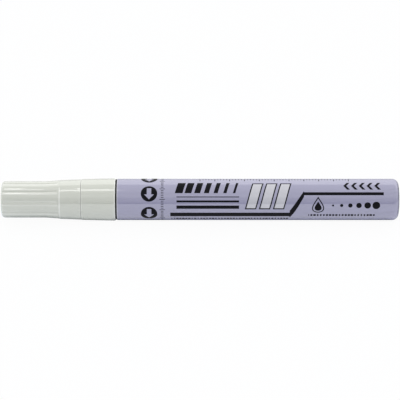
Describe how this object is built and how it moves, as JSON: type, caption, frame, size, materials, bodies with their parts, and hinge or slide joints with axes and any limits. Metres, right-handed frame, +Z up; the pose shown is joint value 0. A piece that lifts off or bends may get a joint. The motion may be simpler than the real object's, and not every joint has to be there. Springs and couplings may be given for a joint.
{
  "type": "paint marker",
  "caption": "Round paint marker with a lacquered metal barrel, a fluted screw cap, a spring valve behind the bullet nib and a loose mixing ball.",
  "frame": {"origin": "under the middle of the lying marker, on the surface that it lies on", "axes": "+X along the marker to its tail, with the cap at -X, +Z up, and the printed front facing -Y"},
  "size_m": [0.134, 0.0142, 0.0143],
  "materials": {
    "barrel_lacquer": "satin lacquer",
    "black_rubber": "matt",
    "white_plastic": "gloss",
    "natural_plastic": "satin",
    "nib_fibre": "pressed fibre",
    "spring_steel": "bright wire",
    "ball_steel": "polished"
  },
  "bodies": {
    "marker": {"barrel": "barrel_lacquer", "barrel_gasket": "black_rubber", "collar": "white_plastic", "nib_holder": "natural_plastic", "valve_seat": "black_rubber", "valve_case": "natural_plastic", "spring_retainer": "natural_plastic", "valve_spring": "spring_steel"},
    "nib_set": {"nib": "nib_fibre", "valve_rod": "natural_plastic"},
    "ball": {"mixing_ball": "ball_steel"},
    "cap_liner": {"inner_cap": "natural_plastic"},
    "cap": {"cap_shell": "white_plastic"}
  },
  "joints": [
    {"name": "nib_press", "type": "slide", "parent": "marker", "child": "nib_set", "axis": [1, 0, 0], "range_m": [0, 0.002], "stiffness_N_per_m": 600, "springref_m": -0.003, "deforming": ["valve_spring"]},
    {"name": "ball_travel", "type": "slide", "parent": "marker", "child": "ball", "axis": [-1, 0, 0], "range_m": [0, 0.062]},
    {"name": "cap_lift", "type": "slide", "parent": "marker", "child": "cap_liner", "axis": [-1, 0, 0], "range_m": [0, 0.03]},
    {"name": "cap_turn", "type": "hinge", "parent": "cap_liner", "child": "cap", "pos_m": [-0.0535, 0, 0.00715], "axis": [-1, 0, 0], "range_deg": [0, 1800]}
  ],
  "couplings": [
    {"joint": "cap_turn", "follows": "cap_lift", "rad_per_m": 1047.2}
  ]
}
